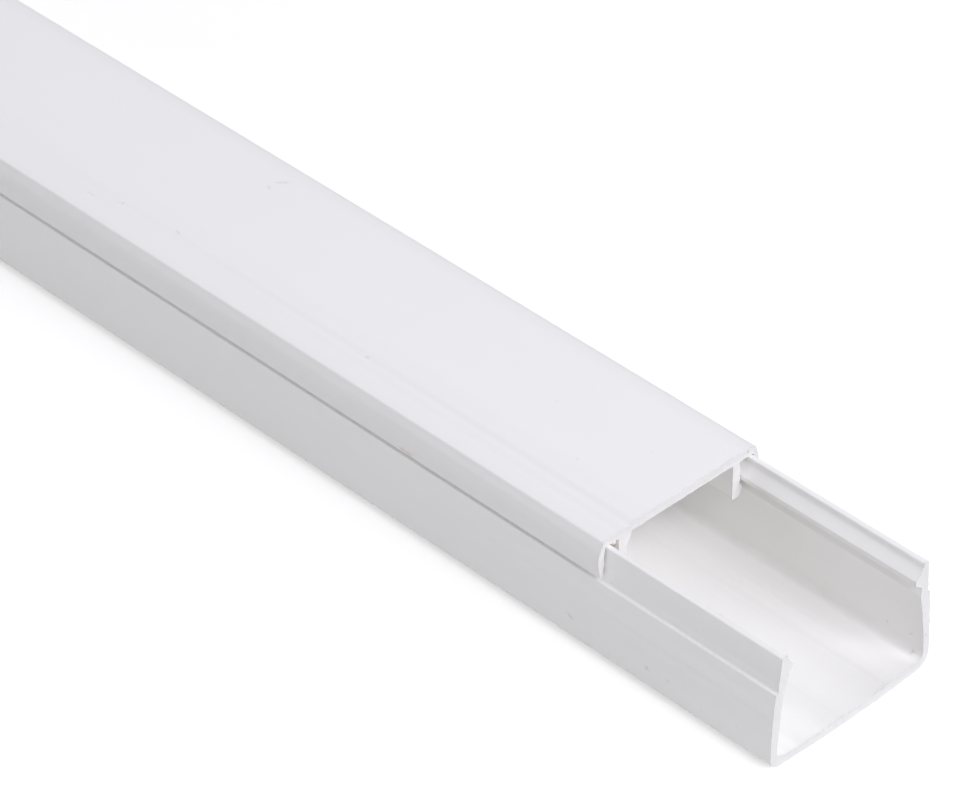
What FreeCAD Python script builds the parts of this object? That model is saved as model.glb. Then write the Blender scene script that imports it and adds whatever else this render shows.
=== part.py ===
"""Mini trunking for cables: a U-shaped base channel and the snap cover that slides along it.

Millimetres. X runs along the stock, towards the end where the channel shows past its cover.
Z points off the back face. The origin is under the middle of the two pieces together.
"""
import FreeCAD, Part
import math
import os
import re
import Sketcher

SIZES = [
    ("stock_length", 400.0, "length of the channel and of its cover"),
    ("cover_setback", 25.6, "how far the cover stands back from the open end"),
    ("overall_width", 25.0, "widest point of the channel and of the cover"),
    ("floor_thickness", 1.12, "channel floor"),
    ("back_flat", 16.0, "flat band of the back face"),
    ("heel_rise", 0.5, "how far the floor has lifted at the outer corners"),
    ("heel_round", 1.6, "outer corner between the back and a wall"),
    ("floor_corner_round", 0.95, "inner corner between the floor and a wall"),
    ("wall_thickness", 0.95, "channel wall near the floor"),
    ("belt_height", 3.07, "height at which the channel is widest"),
    ("wall_height", 15.32, "top of a channel wall"),
    ("wall_lean", 0.45, "how far a wall has leaned in at the ledge"),
    ("wall_outer_radius", 65.0, "outer bow of a leaning wall"),
    ("wall_inner_radius", 40.0, "inner bow of a leaning wall"),
    ("ledge_drop", 4.5, "outer edge of the ledge under the wall's tip"),
    ("ledge_depth", 0.4, "how far the ledge steps in"),
    ("ledge_rise", 0.35, "slope of the ledge"),
    ("recess_lean", 0.35, "how far the wall leans in between ledge and tip"),
    ("tip_width", 0.5, "flat on top of a wall"),
    ("tip_round", 0.16, "edges of that flat"),
    ("hook_reach", 1.2, "how far a hook stands in from its tip"),
    ("hook_slope_height", 1.5, "height of the hook's lead-in slope"),
    ("hook_slope_radius", 4.5, "hollow of that slope"),
    ("hook_face", 0.75, "height of the hook's nose"),
    ("hook_undercut", 0.65, "height of the hook's sloping underside"),
    ("hook_root", 0.7, "depth of the hook's underside"),
    ("hook_round", 0.22, "edges of the hook's nose"),
    ("cover_thickness", 1.12, "cover plate"),
    ("cover_gap", 0.1, "clearance between the wall tips and the plate"),
    ("crown_radius", 6.0, "fall of the plate towards its outer edges"),
    ("crown_drop", 0.39, "how far the outer edge lies under the flat of the plate"),
    ("cover_corner_round", 0.35, "outer edge of the plate"),
    ("skirt_radius", 5.5, "outward bow of a skirt"),
    ("skirt_belt_rise", 1.85, "widest point of a skirt over its foot"),
    ("skirt_gap", 0.7, "open line between skirt and ledge"),
    ("skirt_foot", 0.34, "width of a skirt's lower edge"),
    ("skirt_foot_round", 0.12, "its rounding"),
    ("bead_gap", 0.1, "clearance between a skirt's bead and the wall"),
    ("bead_drop", 2.15, "crest of the bead under the wall's tip"),
    ("bead_round", 0.35, "crest of the bead"),
    ("neck_drop", 1.2, "hollow over the bead under the wall's tip"),
    ("neck_hollow", 0.28, "depth of that hollow behind the wall"),
    ("throat_gap", 0.15, "clearance between a wall tip and the skirt's root"),
    ("throat_round", 0.3, "inner corner between plate and skirt"),
    ("leg_gap", 0.2, "clearance between a leg and the hook's nose"),
    ("leg_thickness", 1.05, "inner leg of the cover"),
    ("leg_length", 4.8, "height of a leg under the plate"),
    ("barb_reach", 0.42, "how far a leg's barb stands out"),
    ("barb_top", 3.0, "start of the barb under the plate"),
    ("barb_catch", 0.45, "height of the barb's catching slope"),
    ("barb_crest", 0.7, "height of the barb's crest"),
    ("barb_round", 0.25, "edges of the barb's crest"),
    ("toe_width", 0.6, "flat under a leg"),
    ("toe_inner_round", 0.3, "rounding of a leg's toe on the inner side"),
    ("toe_outer_round", 0.7, "rounding of a leg's toe under the barb"),
    ("rib_width", 0.85, "web in the root of the leg on the near side"),
    ("rib_height", 1.9, "height of that web"),
    ("rib_radius", 3.2, "hollow of that web"),
]

X_AXIS = FreeCAD.Vector(1, 0, 0)
PLACE_TOLERANCE = 0.01

doc = FreeCAD.newDocument("raceway")
sheet = doc.addObject("Spreadsheet::Sheet", "Sizes")
for row, (alias, value, note) in enumerate(SIZES, start=1):
    sheet.set(f"A{row}", note)
    sheet.set(f"B{row}", str(value))
    sheet.setAlias(f"B{row}", alias)
doc.recompute()


def size(expression):
    """The expression with every sheet name in it pointed at the sheet."""
    names = "|".join(alias for alias, _, _ in SIZES)
    return re.sub(rf"\b({names})\b", r"Sizes.\1", expression)


def evaluate(expression):
    return float(sheet.evalExpression(size(expression)))


class Outline:
    """A closed section sketch. Each corner is pinned by two expressions of the sheet's names."""

    def __init__(self, body, name, start):
        self.sketch = body.newObject("Sketcher::SketchObject", name)
        plane = [item for item in body.Origin.OriginFeatures if item.Role == "YZ_Plane"][0]
        self.sketch.AttachmentSupport = [(plane, "")]
        self.sketch.MapMode = "FlatFace"
        self.start = start
        self.here = start
        self.first_end = None
        self.last_end = None

    def point(self, corner):
        return FreeCAD.Vector(evaluate(corner[0]), evaluate(corner[1]), 0)

    def bind(self, kind, arguments, value, expression):
        constraint = self.sketch.addConstraint(Sketcher.Constraint(kind, *arguments, value))
        self.sketch.setExpression(f"Constraints[{constraint}]", size(expression))

    def join(self, element, begin, end, corner):
        """Ties an element to the one before it and pins its far end."""
        if self.last_end is None:
            self.first_end = (element, begin)
        else:
            self.sketch.addConstraint(Sketcher.Constraint("Coincident", *self.last_end, element, begin))
        self.last_end = (element, end)
        self.here = corner
        if corner is self.start:
            self.sketch.addConstraint(Sketcher.Constraint("Coincident", element, end, *self.first_end))
        place = self.point(corner)
        self.bind("DistanceX", (element, end), place.x, corner[0])
        self.bind("DistanceY", (element, end), place.y, corner[1])

    def line(self, corner):
        edge = Part.LineSegment(self.point(self.here), self.point(corner))
        self.join(self.sketch.addGeometry(edge, False), 1, 2, corner)

    def arc(self, corner, radius, turn):
        """An arc to the corner: turn is 1 for a left-hand bend along the outline, -1 for a right-hand one."""
        begin, end, reach = self.point(self.here), self.point(corner), evaluate(radius)
        chord = end - begin
        rise = math.sqrt(reach ** 2 - chord.Length ** 2 / 4)
        left = FreeCAD.Vector(-chord.y, chord.x, 0).normalize()
        centre = (begin + end) * 0.5 + left * rise * turn
        ends = (begin, end) if turn > 0 else (end, begin)
        angles = [math.atan2(item.y - centre.y, item.x - centre.x) for item in ends]
        circle = Part.Circle(centre, FreeCAD.Vector(0, 0, 1), reach)
        element = self.sketch.addGeometry(Part.ArcOfCircle(circle, *angles), False)
        first, last = (1, 2) if turn > 0 else (2, 1)
        self.join(element, first, last, corner)
        self.bind("Radius", (element,), reach, radius)


def mirrored(corner):
    return (f"-1 * ({corner[0]})", corner[1])


def symmetric_section(body, name, half):
    """Draws the half outline on the +Y side, then the same on the other side, back to its start.

    Each step is a corner, or a corner with the radius and the turn of the arc that reaches it.
    """
    outline = Outline(body, name, half[0][0])
    for corner, *bend in half[1:]:
        outline.arc(corner, *bend) if bend else outline.line(corner)
    outline.line(mirrored(half[-1][0]))
    for (_, *bend), (corner, *_) in zip(reversed(half[1:]), reversed(half[:-1])):
        outline.arc(mirrored(corner), *bend) if bend else outline.line(mirrored(corner))
    outline.line(half[0][0])
    return outline.sketch


def extrude(body, name, sketch):
    """Pads a section along the whole stock, half to each side of its plane."""
    pad = body.newObject("PartDesign::Pad", name)
    pad.Profile = sketch
    pad.SideType = "Symmetric"
    pad.setExpression("Length", size("stock_length"))
    doc.recompute()
    return pad


def round_edges(body, name, corners, radius):
    """Rounds the long edges that start at the given corners of the section."""
    base = body.Tip
    places = [(evaluate(corner[0]), evaluate(corner[1])) for corner in corners]
    chosen = []
    for number, edge in enumerate(base.Shape.Edges, start=1):
        begin, end = edge.firstVertex().Point, edge.lastVertex().Point
        if abs((end - begin).normalize().dot(X_AXIS)) < 1 - PLACE_TOLERANCE:
            continue
        if any(math.hypot(begin.y - y, begin.z - z) < PLACE_TOLERANCE for y, z in places):
            chosen.append(f"Edge{number}")
    if len(chosen) != len(corners):
        raise ValueError(f"{name} found {len(chosen)} of {len(corners)} edges")
    fillet = body.newObject("PartDesign::Fillet", name)
    fillet.Base = (base, chosen)
    fillet.setExpression("Radius", size(radius))
    body.Tip = fillet
    doc.recompute()


def both_sides(*corners):
    return list(corners) + [mirrored(corner) for corner in corners]


def new_body(label, shift):
    body = doc.addObject("PartDesign::Body", label)
    body.Label = label
    body.setExpression("Placement.Base.x", size(shift))
    return body


HALF = "overall_width / 2"

# The places on the channel's wall that the cover takes its own from.
LEDGE_IN = f"({HALF} - wall_lean - ledge_depth)"
LEDGE = "(wall_height - ledge_drop)"
LEDGE_TOP = f"({LEDGE} + ledge_rise)"
TIP_OUT = f"({LEDGE_IN} - recess_lean)"
TIP_IN = f"({TIP_OUT} - tip_width)"
NOSE = f"({TIP_IN} - hook_reach)"
UNDERSIDE = "(wall_height + cover_gap)"


def recess_wall(height):
    """Half width of the channel between its ledge and its tip, at a height."""
    climb = f"(({height} - {LEDGE_TOP}) / (wall_height - {LEDGE_TOP}))"
    return f"({LEDGE_IN} - recess_lean * {climb})"


def base_channel():
    body = new_body("base_channel", "cover_setback / 2")
    inside = f"({HALF} - wall_thickness)"
    heel = (HALF, "heel_rise")
    lift = f"heel_rise * ({inside} - back_flat / 2) / ({HALF} - back_flat / 2)"
    floor_corner = (inside, f"floor_thickness + {lift}")
    tip_out = (TIP_OUT, "wall_height")
    tip_in = (TIP_IN, "wall_height")
    nose_top = (NOSE, "wall_height - hook_slope_height")
    nose_bottom = (NOSE, "wall_height - hook_slope_height - hook_face")
    hook_root = (f"{NOSE} + hook_root", "wall_height - hook_slope_height - hook_face - hook_undercut")
    half = [
        (("back_flat / 2", "0"),),
        (heel,),
        ((HALF, "belt_height"),),
        ((f"{HALF} - wall_lean", LEDGE), "wall_outer_radius", 1),
        ((LEDGE_IN, LEDGE_TOP),),
        (tip_out,),
        (tip_in,),
        (nose_top, "hook_slope_radius", -1),
        (nose_bottom,),
        (hook_root,),
        ((inside, "belt_height"), "wall_inner_radius", -1),
        (floor_corner,),
        (("back_flat / 2", "floor_thickness"),),
    ]
    extrude(body, "ChannelPad", symmetric_section(body, "ChannelSection", half))
    round_edges(body, "Heels", both_sides(heel), "heel_round")
    round_edges(body, "FloorCorners", both_sides(floor_corner), "floor_corner_round")
    round_edges(body, "Tips", both_sides(tip_out, tip_in), "tip_round")
    round_edges(body, "HookNoses", both_sides(nose_top, nose_bottom), "hook_round")
    return body


def snap_cover():
    body = new_body("snap_cover", "-1 * cover_setback / 2")
    top = f"{UNDERSIDE} + cover_thickness"
    skirt_foot = f"({LEDGE} + skirt_gap)"

    def skirt_face(height):
        offset = f"({height} - {skirt_foot} - skirt_belt_rise)"
        return f"({HALF} - skirt_radius + sqrt(skirt_radius ^ 2 - {offset} ^ 2))"

    edge_height = f"({top} - crown_drop)"
    plate_edge = (skirt_face(edge_height), edge_height)
    fall = "sqrt(2 * crown_radius * crown_drop - crown_drop ^ 2)"
    crown_start = (f"{plate_edge[0]} - {fall}", top)
    foot_out = (skirt_face(skirt_foot), skirt_foot)
    foot_in = (f"{skirt_face(skirt_foot)} - skirt_foot", skirt_foot)
    bead_crest = "(wall_height - bead_drop)"
    bead = (f"{recess_wall(bead_crest)} + bead_gap", bead_crest)
    neck_middle = "(wall_height - neck_drop)"
    neck = (f"{recess_wall(neck_middle)} + neck_hollow", neck_middle)
    throat = (f"{TIP_OUT} + throat_gap", UNDERSIDE)
    leg_out = f"({NOSE} - leg_gap)"
    leg_in = f"({leg_out} - leg_thickness)"
    barb_out = f"{leg_out} + barb_reach"
    crest_top = (barb_out, f"{UNDERSIDE} - barb_top - barb_catch")
    crest_bottom = (barb_out, f"{UNDERSIDE} - barb_top - barb_catch - barb_crest")
    toe_out = (f"{leg_in} + toe_inner_round + toe_width", f"{UNDERSIDE} - leg_length")
    toe_in = (leg_in, f"{UNDERSIDE} - leg_length")
    half = [
        (crown_start,),
        (plate_edge, "crown_radius", -1),
        (foot_out, "skirt_radius", -1),
        (foot_in,),
        (bead,),
        (neck,),
        (throat,),
        ((leg_out, UNDERSIDE),),
        ((leg_out, f"{UNDERSIDE} - barb_top"),),
        (crest_top,),
        (crest_bottom,),
        (toe_out,),
        (toe_in,),
        ((leg_in, UNDERSIDE),),
    ]
    extrude(body, "CoverPad", symmetric_section(body, "CoverSection", half))
    round_edges(body, "PlateEdges", both_sides(plate_edge), "cover_corner_round")
    round_edges(body, "SkirtFeet", both_sides(foot_out, foot_in), "skirt_foot_round")
    round_edges(body, "Beads", both_sides(bead), "bead_round")
    round_edges(body, "Throats", both_sides(throat), "throat_round")
    round_edges(body, "BarbCrests", both_sides(crest_top, crest_bottom), "barb_round")
    round_edges(body, "ToesInside", both_sides(toe_in), "toe_inner_round")
    round_edges(body, "ToesOutside", both_sides(toe_out), "toe_outer_round")
    leg_root_web(body, leg_in)
    return body


def leg_root_web(body, leg_in):
    """The hollow-faced web that thickens the root of the leg on the near side."""
    root = mirrored((leg_in, UNDERSIDE))
    low = mirrored((leg_in, f"{UNDERSIDE} - rib_height"))
    wide = mirrored((f"{leg_in} - rib_width", UNDERSIDE))
    outline = Outline(body, "WebSection", root)
    outline.line(low)
    outline.arc(wide, "rib_radius", -1)
    outline.line(root)
    extrude(body, "LegRootWeb", outline.sketch)


pieces = [base_channel(), snap_cover()]
doc.recompute()

failed = [item.Label for item in doc.Objects if {"Invalid", "Error"} & set(item.State)]
if failed:
    raise RuntimeError(f"not built: {failed}")
os.makedirs("parts", exist_ok=True)
for piece in pieces:
    if piece.Shape.isNull() or not piece.Shape.isValid() or len(piece.Shape.Solids) != 1:
        raise RuntimeError(f"{piece.Label} is not one valid solid")
    piece.Shape.exportStep(f"parts/{piece.Label}.step")
    print(piece.Label, round(piece.Shape.Volume, 1), "mm3", piece.Shape.BoundBox)
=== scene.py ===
"""A length of mini trunking: the channel with hooked walls, and the clip-on cover slid back on it.

Sections are drawn in millimetres, looking along the stock: y across it, z off its back face.
Everything that leaves a section or a mark for Blender is in metres, in the frame of the CAD.
"""
import math
from collections import namedtuple

import bmesh
import bpy
from mathutils import Matrix, Quaternion, Vector, noise


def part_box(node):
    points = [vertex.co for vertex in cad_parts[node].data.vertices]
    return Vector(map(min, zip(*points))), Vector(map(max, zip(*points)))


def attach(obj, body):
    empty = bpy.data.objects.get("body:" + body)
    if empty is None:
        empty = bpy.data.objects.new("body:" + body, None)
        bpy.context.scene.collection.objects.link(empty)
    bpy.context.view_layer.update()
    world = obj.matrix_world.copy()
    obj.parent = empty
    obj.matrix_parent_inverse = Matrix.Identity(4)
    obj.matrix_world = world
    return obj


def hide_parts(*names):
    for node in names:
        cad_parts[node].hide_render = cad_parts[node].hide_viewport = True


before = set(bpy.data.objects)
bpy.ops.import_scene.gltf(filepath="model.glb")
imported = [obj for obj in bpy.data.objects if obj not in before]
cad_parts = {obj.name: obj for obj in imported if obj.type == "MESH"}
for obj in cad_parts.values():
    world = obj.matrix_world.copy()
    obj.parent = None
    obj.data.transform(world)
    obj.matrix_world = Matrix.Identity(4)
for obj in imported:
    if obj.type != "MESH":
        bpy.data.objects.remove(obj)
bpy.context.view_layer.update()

MM = 0.001

# Channel, in millimetres: the walls that the cover is made to clear
HALF = 12.5
FLOOR_THICKNESS = 1.12
FLOOR_EDGE = 8.6
FLOOR_BOW = 132.0
HEEL_RISE = 0.5
FLOOR_CORNER_ROUND = 0.95
WALL_THICKNESS = 0.95
BELT_HEIGHT = 3.07
WALL_HEIGHT = 15.32
WALL_INNER_BOW = 60.0
LEDGE_DEPTH = 0.4
LEDGE_RISE = 0.26
RECESS_LEAN = 0.35
WALL_LEAN = 0.45
TIP_WIDTH = 0.5
HOOK_REACH = 1.2
LEDGE_ROUND = 0.1
DIE_ROUND = 0.1

LEDGE = WALL_HEIGHT - 4.5
LEDGE_IN = HALF - WALL_LEAN - LEDGE_DEPTH
LEDGE_TOP = LEDGE + LEDGE_RISE
TIP_OUT = LEDGE_IN - RECESS_LEAN
TIP_IN = TIP_OUT - TIP_WIDTH
NOSE = TIP_IN - HOOK_REACH

# Cover, in millimetres
UNDERSIDE = WALL_HEIGHT + 0.1
TOP = UNDERSIDE + 1.12
SKIRT_FOOT_HEIGHT = LEDGE + 0.7
SKIRT_BELT = SKIRT_FOOT_HEIGHT + 1.85
SKIRT_FOOT = 0.34
SKIRT_FOOT_ROUND = 0.12
BEAD_HEIGHT = WALL_HEIGHT - 2.15
BEAD_GAP = 0.1
BEAD_ROUND = 0.35
NECK_HEIGHT = WALL_HEIGHT - 1.2
NECK_HOLLOW = 0.28
THROAT_GAP = 0.15
THROAT_ROUND = 0.3
LEG_OUT = NOSE - 0.2
LEG_IN = LEG_OUT - 1.05
LEG_FOOT = UNDERSIDE - 4.8
BARB_REACH = 0.42
BARB_TOP = UNDERSIDE - 3.0
BARB_CATCH = 0.45
BARB_CREST = 0.7
BARB_ROUND = 0.25
TOE_WIDTH = 0.6
TOE_INNER_ROUND = 0.3
TOE_OUTER_ROUND = 0.7
WEB_WIDTH = 0.85
WEB_HEIGHT = 1.9
WEB_BOW = 3.2

# Fineness of the meshes, in millimetres
CHORD = 0.2
SAG = 0.002

# Steps in which the centre of a rounding settles between the two runs beside it
SETTLING_STEPS = 60

Corner = namedtuple("Corner", "y z round bow", defaults=(0.0, 0.0))
Wall = namedtuple("Wall", (
    "belt", "outer_bow", "heel_round", "ledge_height", "ledge_rise", "ledge_in", "recess_lean",
    "tip_width", "tip_round", "hook",
))


def recess_wall(height):
    """Half width of the channel between its ledge and its tip."""
    return LEDGE_IN - RECESS_LEAN * (height - LEDGE_TOP) / (WALL_HEIGHT - LEDGE_TOP)


def skirt_face(height, bow):
    """Half width of the cover's bowed skirt."""
    return HALF - bow + math.sqrt(bow ** 2 - (height - SKIRT_BELT) ** 2)


def channel_half(wall):
    """One side of the channel's section, from its back face round to its floor.

    Its hook is a list of how far in, how far down and how rounded its corners are, from the tip.
    """
    inside = HALF - WALL_THICKNESS
    edge_rise = FLOOR_EDGE ** 2 / (2 * FLOOR_BOW)
    lift = edge_rise + (HEEL_RISE - edge_rise) * (inside - FLOOR_EDGE) / (HALF - FLOOR_EDGE)
    tip_out = wall.ledge_in - wall.recess_lean
    tip_in = tip_out - wall.tip_width
    return [
        Corner(0, 0, 0, FLOOR_BOW),
        Corner(FLOOR_EDGE, edge_rise, 0, FLOOR_BOW),
        Corner(wall.belt, HEEL_RISE, wall.heel_round),
        Corner(wall.belt, BELT_HEIGHT),
        Corner(wall.belt - WALL_LEAN, wall.ledge_height, LEDGE_ROUND, wall.outer_bow),
        Corner(wall.ledge_in, wall.ledge_height + wall.ledge_rise, DIE_ROUND),
        Corner(tip_out, WALL_HEIGHT, wall.tip_round),
        Corner(tip_in, WALL_HEIGHT, wall.tip_round),
        *[Corner(tip_in - reach, WALL_HEIGHT - drop, soft) for reach, drop, soft in wall.hook],
        Corner(inside, BELT_HEIGHT, 0, -WALL_INNER_BOW),
        Corner(inside, FLOOR_THICKNESS + lift, FLOOR_CORNER_ROUND),
        Corner(FLOOR_EDGE, FLOOR_THICKNESS + edge_rise),
        Corner(0, FLOOR_THICKNESS, 0, -FLOOR_BOW),
    ]


def cover_half(crown_start, skirt, set_out):
    """The cover's section on the far side, from where its plate starts to fall to its leg's root.

    The skirt is its outer corners, from the plate's shoulder to the foot. Its bead and its neck
    stand off the wall by their gaps and by set_out.
    """
    barb_low = BARB_TOP - BARB_CATCH - BARB_CREST
    foot_out = skirt[-1].y
    return [
        Corner(crown_start, TOP),
        *skirt,
        Corner(foot_out - SKIRT_FOOT, SKIRT_FOOT_HEIGHT, SKIRT_FOOT_ROUND),
        Corner(recess_wall(BEAD_HEIGHT) + BEAD_GAP + set_out, BEAD_HEIGHT, BEAD_ROUND),
        Corner(recess_wall(NECK_HEIGHT) + NECK_HOLLOW + set_out, NECK_HEIGHT, DIE_ROUND),
        Corner(TIP_OUT + THROAT_GAP + set_out, UNDERSIDE, THROAT_ROUND),
        Corner(LEG_OUT, UNDERSIDE, DIE_ROUND),
        Corner(LEG_OUT, BARB_TOP, DIE_ROUND),
        Corner(LEG_OUT + BARB_REACH, BARB_TOP - BARB_CATCH, BARB_ROUND),
        Corner(LEG_OUT + BARB_REACH, barb_low, BARB_ROUND),
        Corner(LEG_IN + TOE_INNER_ROUND + TOE_WIDTH, LEG_FOOT, TOE_OUTER_ROUND),
        Corner(LEG_IN, LEG_FOOT, TOE_INNER_ROUND),
        Corner(LEG_IN, UNDERSIDE, DIE_ROUND),
    ]


def other_side(half):
    """The same section on the near side, walked back from its last corner to its first."""
    mirrored = []
    bow = 0.0
    for corner in reversed(half):
        mirrored.append(Corner(-corner.y, corner.z, corner.round, bow))
        bow = corner.bow
    return mirrored


class Run:
    """One side of an outline: straight, or an arc whose signed bow is positive for a left-hand bend."""

    def __init__(self, begin, end, bow):
        self.begin, self.end, self.bow = begin, end, bow
        chord = end - begin
        self.along = chord.normalized()
        self.left = Vector((-self.along.y, self.along.x))
        if bow:
            rise = math.sqrt(bow ** 2 - chord.length_squared / 4)
            self.centre = (begin + end) / 2 + self.left * math.copysign(rise, bow)

    def heading(self, place):
        """The direction of travel at a place on the run."""
        if not self.bow:
            return self.along
        spoke = (place - self.centre) * math.copysign(1, self.bow)
        return Vector((-spoke.y, spoke.x)).normalized()

    def nearest(self, place):
        if not self.bow:
            return self.begin + self.along * (place - self.begin).dot(self.along)
        return self.centre + (place - self.centre).normalized() * abs(self.bow)

    def offset(self, place, distance):
        """The point at a signed distance to the left of the run, nearest to a place."""
        foot = self.nearest(place)
        heading = self.heading(foot)
        return foot + Vector((-heading.y, heading.x)) * distance

    def points(self, begin, end):
        """The run from begin up to but not including end, in even steps."""
        length = (end - begin).length
        step = min(CHORD, math.sqrt(8 * abs(self.bow) * SAG)) if self.bow else CHORD
        count = max(1, math.ceil(length / step))
        if not self.bow:
            return [begin.lerp(end, i / count) for i in range(count)]
        return arc_points(self.centre, begin, end, self.bow, count)


def arc_points(centre, begin, end, bow, count):
    """Points of the short arc about a centre, without its end."""
    spoke = begin - centre
    angle = spoke.angle(end - centre) * math.copysign(1, bow)
    turns = [Matrix.Rotation(angle * i / count, 2) for i in range(count)]
    return [centre + turn @ spoke for turn in turns]


def rounding(before, corner, after):
    """Where a corner's rounding leaves the run before it and meets the one after, and its centre."""
    place = Vector((corner.y, corner.z))
    into, out = before.heading(place), after.heading(place)
    side = math.copysign(corner.round, into.x * out.y - into.y * out.x)
    centre = place
    for _ in range(SETTLING_STEPS):
        centre = before.offset(centre, side)
        centre = after.offset(centre, side)
    return before.nearest(centre), after.nearest(centre), centre, side


def outline(corners):
    """The points of a closed section with its corners rounded."""
    places = [Vector((corner.y, corner.z)) for corner in corners]
    runs = [Run(places[i - 1], places[i], corners[i].bow) for i in range(len(corners))]
    joints = []
    for i, corner in enumerate(corners):
        after = runs[(i + 1) % len(runs)]
        if corner.round:
            joints.append(rounding(runs[i], corner, after))
        else:
            joints.append((places[i], places[i], None, 0))
    points = []
    for i, run in enumerate(runs):
        leave, meet, centre, side = joints[i]
        points += run.points(joints[i - 1][1], leave)
        if centre is not None:
            span = (leave - meet).length
            count = max(4, math.ceil(span / min(CHORD, math.sqrt(8 * abs(side) * SAG))))
            points += arc_points(centre, leave, meet, side, count)
    return points


class Wire:
    """One output of a node. Arithmetic on it adds Math nodes."""

    def __init__(self, finish, socket):
        self.finish, self.socket = finish, socket

    def maths(self, operation, *values):
        return self.finish.node("ShaderNodeMath", {"operation": operation}, dict(enumerate(values)))

    def __add__(self, other):
        return self.maths("ADD", self, other)

    def __sub__(self, other):
        return self.maths("SUBTRACT", self, other)

    def __rsub__(self, other):
        return self.maths("SUBTRACT", other, self)

    def __mul__(self, other):
        return self.maths("MULTIPLY", self, other)

    __radd__ = __add__
    __rmul__ = __mul__

    def highest(self, other):
        return self.maths("MAXIMUM", self, other)

    def fade(self, low, high):
        """0 up to low, 1 from high on, and a soft climb between them."""
        settings = {"interpolation_type": "SMOOTHSTEP"}
        inputs = {"Value": self, "From Min": low, "From Max": high}
        return self.finish.node("ShaderNodeMapRange", settings, inputs)

    def shifted(self, other):
        return self.vector_maths("ADD", self, other)

    def vector_maths(self, operation, *values, output=0):
        settings = {"operation": operation}
        return self.finish.node("ShaderNodeVectorMath", settings, dict(enumerate(values)), output)


class Finish:
    """The nodes of a material or of the world, in the making."""

    def __init__(self, owner):
        owner.use_nodes = True
        self.owner = owner
        self.tree = owner.node_tree
        self.tree.nodes.clear()

    def node(self, kind, settings=None, inputs=None, output=0):
        """Adds a node, sets it up, then fills or links its sockets. Gives one of its outputs."""
        made = self.tree.nodes.new(kind)
        for name, value in (settings or {}).items():
            setattr(made, name, value)
        for name, value in (inputs or {}).items():
            if isinstance(value, Wire):
                self.tree.links.new(value.socket, made.inputs[name])
            else:
                made.inputs[name].default_value = value
        return Wire(self, made.outputs[output]) if len(made.outputs) else made

    def place(self):
        """The place on the piece, in millimetres of the frame."""
        coordinates = self.node("ShaderNodeTexCoord", output="Object")
        return coordinates.vector_maths("MULTIPLY", coordinates, (1 / MM,) * 3)

    def clouds(self, place, scale, detail=2.0, stretch=(1, 1, 1)):
        """Noise about 0.5. The scale is in cycles per millimetre."""
        squeezed = place.vector_maths("MULTIPLY", place, stretch)
        inputs = {"Vector": squeezed, "Scale": scale, "Detail": detail}
        return self.node("ShaderNodeTexNoise", None, inputs, "Fac")

    def blot(self, place, centre, size, turn=(0, 0, 0)):
        """1 inside a soft-edged ellipsoid of the given half sizes, 0 outside."""
        settings = {"vector_type": "TEXTURE"}
        inputs = {"Vector": place, "Location": centre, "Rotation": turn, "Scale": size}
        local = self.node("ShaderNodeMapping", settings, inputs)
        distance = local.vector_maths("LENGTH", local, output="Value")
        return distance.fade(1.0, 0.55)

    def mix(self, factor, first, second):
        settings = {"data_type": "RGBA"}
        return self.node("ShaderNodeMix", settings, {0: factor, 6: first, 7: second}, 2)

    def bump(self, height, depth, under=None):
        """A normal from a height of 0 to 1 that stands for a depth in millimetres."""
        inputs = {"Height": height, "Distance": depth * MM, "Strength": 1.0}
        if under is not None:
            inputs["Normal"] = under
        return self.node("ShaderNodeBump", None, inputs)

    def shade(self, inputs):
        surface = self.node("ShaderNodeBsdfPrincipled", None, inputs)
        self.node("ShaderNodeOutputMaterial", None, {"Surface": surface})
        return self.owner


def material(name):
    return Finish(bpy.data.materials.new(name))


def scuffs(finish, place, marks):
    """The highest of several blots, with ragged edges and thin places."""
    ragged = finish.node("ShaderNodeTexNoise", None, {"Vector": place, "Scale": 2.5}, "Color")
    bent = place.shifted(ragged.vector_maths("SUBTRACT", ragged, (0.5,) * 3))
    total = finish.blot(bent, *marks[0])
    for mark in marks[1:]:
        total = total.highest(finish.blot(bent, *mark))
    patchy = finish.clouds(place, 3.0).fade(0.4, 0.58)
    return total * (0.45 + 0.55 * patchy)


def grey(level, warmth=0.0):
    """A near-neutral colour; warmth is how far blue falls behind."""
    return (level * (1 + warmth / 3), level, level * (1 - warmth), 1)


# How far from a sawn end the darkening on its edge starts, and where it is full, in millimetres
EDGE_DARKENING = (0.2, 0.08)


def pvc(name, level, warmth, dirt, ends, crumbs=()):
    """Extruded white PVC: satin, with faint lengthwise die lines and a fine orange peel.

    Dirt is a list of colour, strength and marks. Ends is where along the frame the stock stops.
    Crumbs are marks that stand proud.
    """
    finish = material(name)
    place = finish.place()
    drawn = finish.clouds(place, 3.0, 3.0, (0.02, 1, 1))
    peel = finish.clouds(place, 1.1, 3.0, (0.6, 1, 1))
    mottle = finish.clouds(place, 0.12, 2.0, (0.5, 1, 1))
    colour = finish.mix(mottle, grey(level * 0.985, warmth), grey(level * 1.015, warmth - 0.004))
    along = finish.node("ShaderNodeSeparateXYZ", None, {"Vector": place}, "X")
    torn = finish.clouds(place, 1.6, 2.0, (1, 1, 1)).fade(0.4, 0.6)
    low, high = ends
    first, last = EDGE_DARKENING
    edge = along.fade(high - first, high - last).highest(along.fade(low + first, low + last))
    # Darker grey in torn patches on the faces just before each sawn end
    colour = finish.mix(edge * torn * 0.2, colour, grey(0.4, 0.1))
    for shade, strength, marks in dirt:
        colour = finish.mix(scuffs(finish, place, marks) * strength, colour, shade)
    rough = 0.28 + 0.1 * mottle + 0.05 * peel
    relief = finish.bump(drawn, 0.004)
    relief = finish.bump(peel, 0.006, relief)
    if crumbs:
        relief = finish.bump(scuffs(finish, place, crumbs), 0.15, relief)
    return finish.shade({
        "Base Color": colour, "Roughness": rough, "Normal": relief, "IOR": 1.53,
    })


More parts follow.
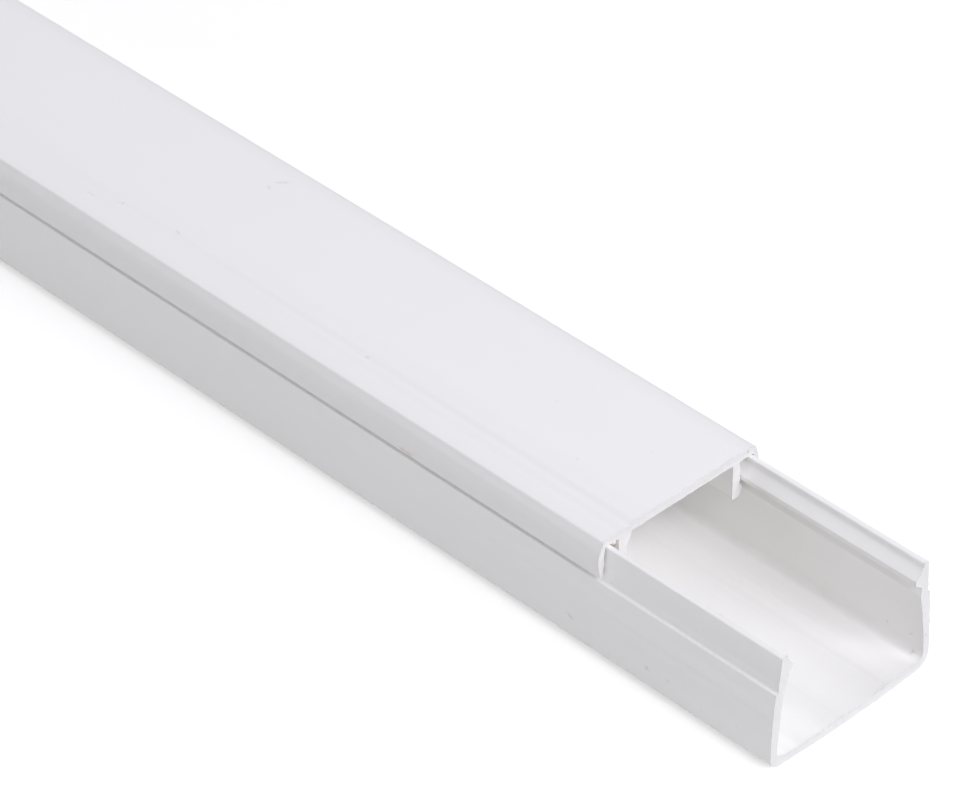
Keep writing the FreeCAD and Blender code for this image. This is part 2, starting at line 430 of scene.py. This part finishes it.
def sawn(name, level, warmth, grime):
    """The sawn end of the PVC: matt, scored across by the teeth, with grime in places. Its level is set
    below the PVC's, partly as painted shade.
    """
    finish = material(name)
    place = finish.place()
    scores = finish.clouds(place, 4.0, 2.0, (1, 0.25, 1))
    crumbs = finish.clouds(place, 5.0, 3.0)
    colour = finish.mix(crumbs, grey(level * 0.95, warmth), grey(level * 1.03, warmth))
    colour = finish.mix(scuffs(finish, place, grime) * 0.5, colour, DIRT_BROWN)
    relief = finish.bump(scores, 0.03)
    relief = finish.bump(crumbs, 0.02, relief)
    return finish.shade({
        "Base Color": colour, "Roughness": 0.62 + 0.1 * crumbs, "Normal": relief,
    })


def mark(x, y, z, long, wide, turn=0.0):
    """A mark on a face looking up: its half length and half width, and its turn from the length."""
    return (x, y, z), (long, wide, 0.6), (0, 0, turn)


def side_mark(x, y, z, long, high, turn=0.0):
    """A mark on an upright face that runs along the stock."""
    return (x, y, z), (long, 0.8, high), (0, turn, 0)


# Dirt and the places of the marks, in millimetres along the stock, across it and up
DIRT_GREY = grey(0.3)
DIRT_BROWN = grey(0.22, 0.5)
RUST = (0.5, 0.25, 0.1, 1)
RUST_PALE = (0.9, 0.66, 0.48, 1)

COVER_SCUFFS = [
    mark(114.1, 8.5, TOP, 1.3, 0.3, 0.7),
    mark(113.6, 6.6, TOP, 0.5, 0.3),
    mark(103.7, -7.8, TOP, 0.9, 0.25, 0.5),
    mark(99.7, -9.0, TOP, 1.2, 0.15, 0.3),
    mark(113.0, -6.9, TOP, 0.5, 0.25, -0.4),
    mark(166.6, 1.8, TOP, 0.3, 0.2),
    mark(145.9, -7.6, TOP, 0.4, 0.25, 0.4),
    mark(175.5, -4.0, TOP, 0.25, 0.2),
    mark(180.3, 2.8, TOP, 0.25, 0.15),
]
COVER_GRIME = [
    side_mark(157.0, -12.4, 11.95, 1.9, 0.22),
]
THROAT_RUST = [
    ((186.2, -9.7, 14.6), (1.8, 0.9, 1.0), (0, 0, 0)),
]
NEAR_SIDE_GRIME = [
    side_mark(182.9, -12.2, 3.9, 0.8, 0.28, 0.3),
    side_mark(186.0, -12.2, 1.5, 0.3, 0.2),
    side_mark(194.6, -12.2, 3.6, 0.7, 0.28, 0.4),
    side_mark(197.7, -12.2, 3.75, 0.35, 0.25, 0.6),
    side_mark(202.6, -12.2, 2.5, 0.2, 0.15),
    side_mark(207.8, -12.2, 3.6, 0.2, 0.15),
    side_mark(130.0, -12.2, 2.0, 0.3, 0.2),
]
CHANNEL_SPECKS = [
    side_mark(188.3, -11.5, 11.25, 0.18, 0.18),
    side_mark(193.5, -12.2, 5.5, 0.15, 0.15),
    side_mark(200.8, -11.5, 12.15, 0.2, 0.18),
    side_mark(187.4, 11.3, 1.45, 0.14, 0.12),
    side_mark(190.0, 11.2, 3.3, 0.14, 0.12),
    side_mark(209.1, 11.0, 7.8, 0.14, 0.14),
    side_mark(198.6, 11.2, 3.9, 0.12, 0.6, 0.4),
    side_mark(198.2, 11.3, 2.4, 0.1, 0.8, -0.5),
    mark(189.7, 7.3, FLOOR_THICKNESS, 0.2, 0.15),
    mark(192.1, 1.7, FLOOR_THICKNESS, 0.15, 0.15),
    mark(208.7, -4.2, FLOOR_THICKNESS, 0.2, 0.12, 0.8),
]
PALE_CRUMBS = [
    side_mark(207.5, 11.2, 3.7, 0.2, 0.2),
    side_mark(211.0, 11.2, 4.0, 0.18, 0.18),
    side_mark(211.5, 11.2, 1.9, 0.2, 0.2),
]
SAW_GRIME = [
    ((212.8, 11.9, 4.8), (0.5, 0.15, 0.4), (0, 0, 0)),
    ((187.2, 6.7, TOP), (0.5, 0.6, 0.15), (0, 0, 0)),
    ((187.2, 10.7, TOP - 0.4), (0.5, 0.2, 0.2), (0, 0, 0)),
]


def inward(points):
    """The unit normal into the section at each point, for an outline walked anticlockwise."""
    normals = []
    for i, point in enumerate(points):
        along = (points[(i + 1) % len(points)] - points[i - 1]).normalized()
        normals.append(Vector((-along.y, along.x)))
    return normals


def area(points):
    pairs = zip(points, points[1:] + points[:1])
    return sum(a.x * b.y - b.x * a.y for a, b in pairs) / 2


# How far the edge of a sawn end may be broken back, and how far from it the stock is still true
LIP = 0.07
END_ZONE = 0.35


def raggedness(place, seed, amount):
    """Uneven height of a sawn edge, in millimetres, from 0 up."""
    wave = noise.noise(Vector((place.x * 1.3, place.y * 1.3, seed)))
    grit = noise.noise(Vector((place.x * 5.0, place.y * 5.0, seed + 7)))
    return amount * min(1.0, max(0.0, 0.35 + wave + 0.5 * grit))


def swelling(place, centre, reach, amount):
    """A lump on a sawn edge, that dies out at its reach from the centre."""
    distance = (place - Vector(centre)).length / reach
    return amount * (1 - distance ** 2) if distance < 1 else 0.0


def sawn_end(mesh, points, x, facing, burrs, ceiling):
    """Rings for one sawn end: the shoulder, the edge with its burr, then the rim of the flat face.

    No burr stands higher than the ceiling.
    """
    normals = inward(points)

    def ring(x, outs, backs):
        made = []
        for point, normal, out, back in zip(points, normals, outs, backs):
            place = point - normal * out
            place.x = min(HALF, max(-HALF, place.x))
            place.y = min(ceiling, max(0.0, place.y))
            made.append(mesh.verts.new(Vector((x + back, place.x, place.y)) * MM))
        return made

    still = [0.0] * len(points)
    outs = [burrs(point, facing) for point in points]
    backs = [-facing * (LIP - raggedness(point, 3 * facing, LIP)) for point in points]
    shoulder = ring(x - facing * END_ZONE, still, still)
    lip = ring(x, outs, backs)
    rim = ring(x - facing * LIP, [-LIP] * len(points), still)
    return [shoulder, lip, rim]


# Place of the sawn finish among a piece's materials
SAWN = 1


def skin(mesh, rings):
    """Faces from ring to ring and over both ends. What looks along the stock has the sawn finish."""
    for first, second in zip(rings, rings[1:]):
        for i in range(len(first)):
            j = (i + 1) % len(first)
            mesh.faces.new((first[i], first[j], second[j], second[i]))
    for rim in (rings[0], rings[-1]):
        mesh.faces.new(rim).material_index = SAWN
    bmesh.ops.recalc_face_normals(mesh, faces=mesh.faces)
    for face in mesh.faces:
        face.smooth = True
        if abs(face.normal.x) > 0.6:
            face.material_index = SAWN


def piece_of(name, mesh, finishes):
    data = bpy.data.meshes.new(name)
    mesh.to_mesh(data)
    mesh.free()
    for finish in finishes:
        data.materials.append(finish)
    piece = bpy.data.objects.new(name, data)
    bpy.context.scene.collection.objects.link(piece)
    return piece


def ends_of(node):
    """Where a CAD node begins and ends along the stock, in millimetres."""
    return [corner.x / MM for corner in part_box(node)]


def stock(name, corners, node, burrs, ceiling, finishes):
    """A length of one section, with sawn and slightly ragged ends, that fills a CAD node's length."""
    points = outline(corners)
    if area(points) < 0:
        points.reverse()
    low, high = ends_of(node)
    mesh = bmesh.new()
    low_end = sawn_end(mesh, points, low, -1, burrs, ceiling)
    high_end = sawn_end(mesh, points, high, 1, burrs, ceiling)
    skin(mesh, low_end[::-1] + high_end)
    piece = piece_of(name, mesh, finishes)
    piece.data.set_sharp_from_angle(angle=math.radians(32))
    return piece


def channel_burrs(point, facing):
    """How far the burr stands out: a little all round, with lumps on the open end's near wall."""
    burr = raggedness(point, 11, 0.05)
    if facing > 0:
        burr += swelling(point, (-10.75, 15.45), 0.45, 0.3)
        burr += swelling(point, (-10.6, 12.4), 0.7, 0.15)
        if -11.6 < point.x < -9 and 3 < point.y < 13:
            burr += raggedness(point * 2, 31, 0.1)
    return burr


def cover_burrs(point, facing):
    """How far the burr stands out: a little all round, with lumps on the front end's legs and skirt."""
    burr = raggedness(point, 23, 0.05)
    if facing > 0:
        burr += swelling(point, (9.4, 14.2), 0.5, 0.12)
        burr += swelling(point, (9.4, 13.0), 0.5, 0.1)
        burr += swelling(point, (-11.0, 12.9), 0.7, 0.15)
    return burr


CHANNEL_WHITE = 0.955
COVER_WHITE = 0.93
# Sawn ends: darker than the PVC partly for their dull sawn surface, and partly as painted shade that
# holds the end faces down under the end lamps
SAWN_LEVEL_WITH_PAINTED_SHADE = 0.64

channel_pvc = pvc("channel_white", CHANNEL_WHITE, 0.037, [
    (DIRT_BROWN, 0.2, NEAR_SIDE_GRIME), (DIRT_GREY, 0.16, CHANNEL_SPECKS),
    (RUST_PALE, 0.08, THROAT_RUST),
], ends_of("base_channel"), PALE_CRUMBS)
cover_pvc = pvc("cover_white", COVER_WHITE, 0.036, [
    (DIRT_GREY, 0.18, COVER_SCUFFS), (RUST, 0.35, COVER_GRIME), (RUST_PALE, 0.12, THROAT_RUST),
], ends_of("snap_cover"))
sawn_pvc_with_painted_shade = sawn("sawn_dull_with_painted_shade", SAWN_LEVEL_WITH_PAINTED_SHADE, 0.03, SAW_GRIME)

# How far in, how far down and how rounded the corners of each hook are, from the tip's inner edge
FAR_HOOK = [
    (0.2, 0.8, 0.9), (1.18, 1.95, 0.12), (1.2, 2.5, 0.1), (0.8, 2.75, 0.1),
    (0.12, 3.3, 0.2), (0.3, 4.35, 0.15), (0.1, 5.2, 0.3),
]
NEAR_HOOK = [
    (1.03, 1.58, 0.2), (0.85, 2.5, 0.2), (0.25, 2.7, 0.1), (0.2, 3.4, 0.2), (0.0, 4.5, 0.5),
]
far_wall = Wall(
    belt=12.45, outer_bow=300.0, heel_round=2.0,
    ledge_height=LEDGE, ledge_rise=LEDGE_RISE, ledge_in=11.7, recess_lean=0.22,
    tip_width=0.68, tip_round=0.16, hook=FAR_HOOK,
)
near_wall = Wall(
    belt=HALF, outer_bow=65.0, heel_round=1.4,
    ledge_height=LEDGE - 0.1, ledge_rise=0.12, ledge_in=11.7, recess_lean=0.4,
    tip_width=0.6, tip_round=0.2, hook=NEAR_HOOK,
)
far_half = channel_half(far_wall)
near_half = channel_half(near_wall)

# How high a burr on the channel may stand without touching the cover when both ends are flush
BURR_ROOM = UNDERSIDE - 0.07

channel = stock("channel_body", far_half + other_side(near_half)[1:-1], "base_channel",
                channel_burrs, BURR_ROOM, [channel_pvc, sawn_pvc_with_painted_shade])
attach(channel, "channel")
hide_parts("base_channel")

# Each skirt from the plate's shoulder to its foot: half width, height, rounding and bow
FAR_SHOULDER = TOP - 0.27
FAR_BOW = 7.0
NEAR_SHOULDER = TOP - 0.38
far_skirt = [
    Corner(skirt_face(FAR_SHOULDER, FAR_BOW), FAR_SHOULDER, 0.5, -10.0),
    Corner(skirt_face(SKIRT_FOOT_HEIGHT, FAR_BOW), SKIRT_FOOT_HEIGHT, SKIRT_FOOT_ROUND, -FAR_BOW),
]
near_skirt = [
    Corner(11.75, NEAR_SHOULDER, 0.25, -88.0),
    Corner(12.4, 14.5, 4.0),
    Corner(12.5, 13.2, 3.0),
    Corner(12.25, SKIRT_FOOT_HEIGHT, SKIRT_FOOT_ROUND),
]
far_side = cover_half(9.5, far_skirt, 0.15)
near_side = other_side(cover_half(4.0, near_skirt, 0.0))
root = near_side[0]
web_root = Corner(root.y + WEB_WIDTH, root.z)
web_low = Corner(root.y, root.z - WEB_HEIGHT, 0, -WEB_BOW)
cover = stock("cover_body", far_side + [web_root, web_low] + near_side[1:], "snap_cover",
              cover_burrs, TOP, [cover_pvc, sawn_pvc_with_painted_shade])
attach(cover, "cover")
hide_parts("snap_cover")

CRUMB_PLACE = Vector((186.3, -9.88, 14.95))
CRUMB_HALF_SIZES = (0.7, 0.41, 0.41)


def dust(name):
    """Tan dust, matt and grainy."""
    finish = material(name)
    place = finish.place()
    grains = finish.clouds(place, 6.0, 3.0)
    colour = finish.mix(grains.fade(0.35, 0.65), (0.6, 0.54, 0.49, 1), (0.78, 0.72, 0.67, 1))
    relief = finish.bump(grains, 0.05)
    return finish.shade({
        "Base Color": colour, "Roughness": 0.75 + 0.1 * grains, "Normal": relief,
    })


def throat_crumb():
    """A crumb of dust, caught under the cover between the near leg and the channel's hook."""
    mesh = bmesh.new()
    bmesh.ops.create_icosphere(mesh, subdivisions=4, radius=1.0)
    for vertex in mesh.verts:
        lumpy = 1 + 0.2 * noise.noise(vertex.co * 2.2) + 0.08 * noise.noise(vertex.co * 6.0)
        reach = Vector([unit * half for unit, half in zip(vertex.co, CRUMB_HALF_SIZES)])
        vertex.co = (CRUMB_PLACE + lumpy * reach) * MM
    for face in mesh.faces:
        face.smooth = True
    return piece_of("throat_crumb", mesh, [dust("tan_dust")])


crumb = throat_crumb()
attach(crumb, "cover")

# Floor: white to the camera and in reflections, with the object's own soft shadow on it
SEEN_BY = ("Is Camera Ray", "Is Glossy Ray", "Is Transmission Ray")
FLOOR_SIZE = 6.0
PAPER_GREY = 0.7
FLOOR_GLOW = 0.48
# Where, in millimetres from the middle, the glow that only the camera sees begins and is full
OUTSKIRTS = (260.0, 600.0)


def studio_floor():
    bpy.ops.mesh.primitive_plane_add(size=FLOOR_SIZE)
    floor = bpy.context.active_object
    floor.name = "studio_floor"
    finish = material("floor_white")
    place = finish.place()
    paper = finish.clouds(place, 0.5, 2.0)
    colour = finish.mix(paper, grey(PAPER_GREY - 0.01, 0.03), grey(PAPER_GREY + 0.01, 0.03))
    diffuse = finish.node("ShaderNodeBsdfDiffuse", None, {"Color": colour})
    rays = [finish.node("ShaderNodeLightPath", output=name) for name in SEEN_BY]
    seen = rays[0].highest(rays[1]).highest(rays[2])
    outskirts = place.vector_maths("LENGTH", place, output="Value").fade(*OUTSKIRTS)
    strength = seen * FLOOR_GLOW + rays[0] * outskirts * (1 - FLOOR_GLOW)
    glow = finish.node("ShaderNodeEmission", None, {"Strength": strength})
    both = finish.node("ShaderNodeAddShader", None, {0: diffuse, 1: glow})
    finish.node("ShaderNodeOutputMaterial", None, {"Surface": both})
    floor.data.materials.append(finish.owner)
    return floor


studio_floor()

# The light of the studio leans a little to blue, and the plastic a little to cream
DAYLIGHT = (1.0, 1.003, 1.083)
SKY = 0.07


def lamp(name, place, power, size=1.0):
    """A square soft box that faces the open end of the channel."""
    data = bpy.data.lights.new(name, "AREA")
    data.size = size
    data.energy = power
    data.color = DAYLIGHT
    box = bpy.data.objects.new(name, data)
    box.location = place
    box.rotation_mode = "QUATERNION"
    box.rotation_quaternion = (OPEN_END - Vector(place)).to_track_quat("-Z", "Y")
    bpy.context.scene.collection.objects.link(box)


OPEN_END = Vector((0.19, 0, 0.01))
lamp("end_lamp", (1.337, 0.0, 0.813), 20.7)
lamp("near_end_lamp", (1.229, -0.485, 0.813), 4.4)
lamp("far_lamp", (-0.582, 0.745, 0.91), 3.3)
lamp("left_lamp", (-0.486, -1.171, 0.372), 2.9, 0.7)


def studio_world():
    """A dim surround for the light it sheds, and white where it is seen or mirrored."""
    sky = Finish(bpy.data.worlds.new("studio"))
    seen = [sky.node("ShaderNodeLightPath", output=name) for name in SEEN_BY]
    white = seen[0].highest(seen[1]).highest(seen[2])
    strength = SKY + white * (1 - SKY)
    surround = sky.node("ShaderNodeBackground", None, {"Color": (*DAYLIGHT, 1), "Strength": strength})
    sky.node("ShaderNodeOutputWorld", None, {"Surface": surround})
    return sky.owner


bpy.context.scene.world = studio_world()

# The photograph's camera: its angles, place and lens
CAMERA_AZIMUTH = math.radians(46.087)
CAMERA_ELEVATION = math.radians(37.71)
CAMERA_ROLL = math.radians(-0.411)
CAMERA_PLACE = (0.45258, -0.28471, 0.32971)
FOCAL_PIXELS = 4632.41
PHOTO_WIDTH = 969
SENSOR = 36.0
LENS = FOCAL_PIXELS / PHOTO_WIDTH * SENSOR

camera_data = bpy.data.cameras.new("photo_camera")
camera_data.sensor_fit = "HORIZONTAL"
camera_data.sensor_width = SENSOR
camera_data.lens = LENS
camera = bpy.data.objects.new("photo_camera", camera_data)
back = Vector((
    math.sin(CAMERA_AZIMUTH) * math.cos(CAMERA_ELEVATION),
    -math.cos(CAMERA_AZIMUTH) * math.cos(CAMERA_ELEVATION),
    math.sin(CAMERA_ELEVATION),
))
camera.location = CAMERA_PLACE
camera.rotation_mode = "QUATERNION"
camera.rotation_quaternion = (-back).to_track_quat("-Z", "Y") @ Quaternion((0, 0, 1), CAMERA_ROLL)
bpy.context.scene.collection.objects.link(camera)
bpy.context.scene.camera = camera
bpy.context.scene.view_settings.view_transform = "Standard"
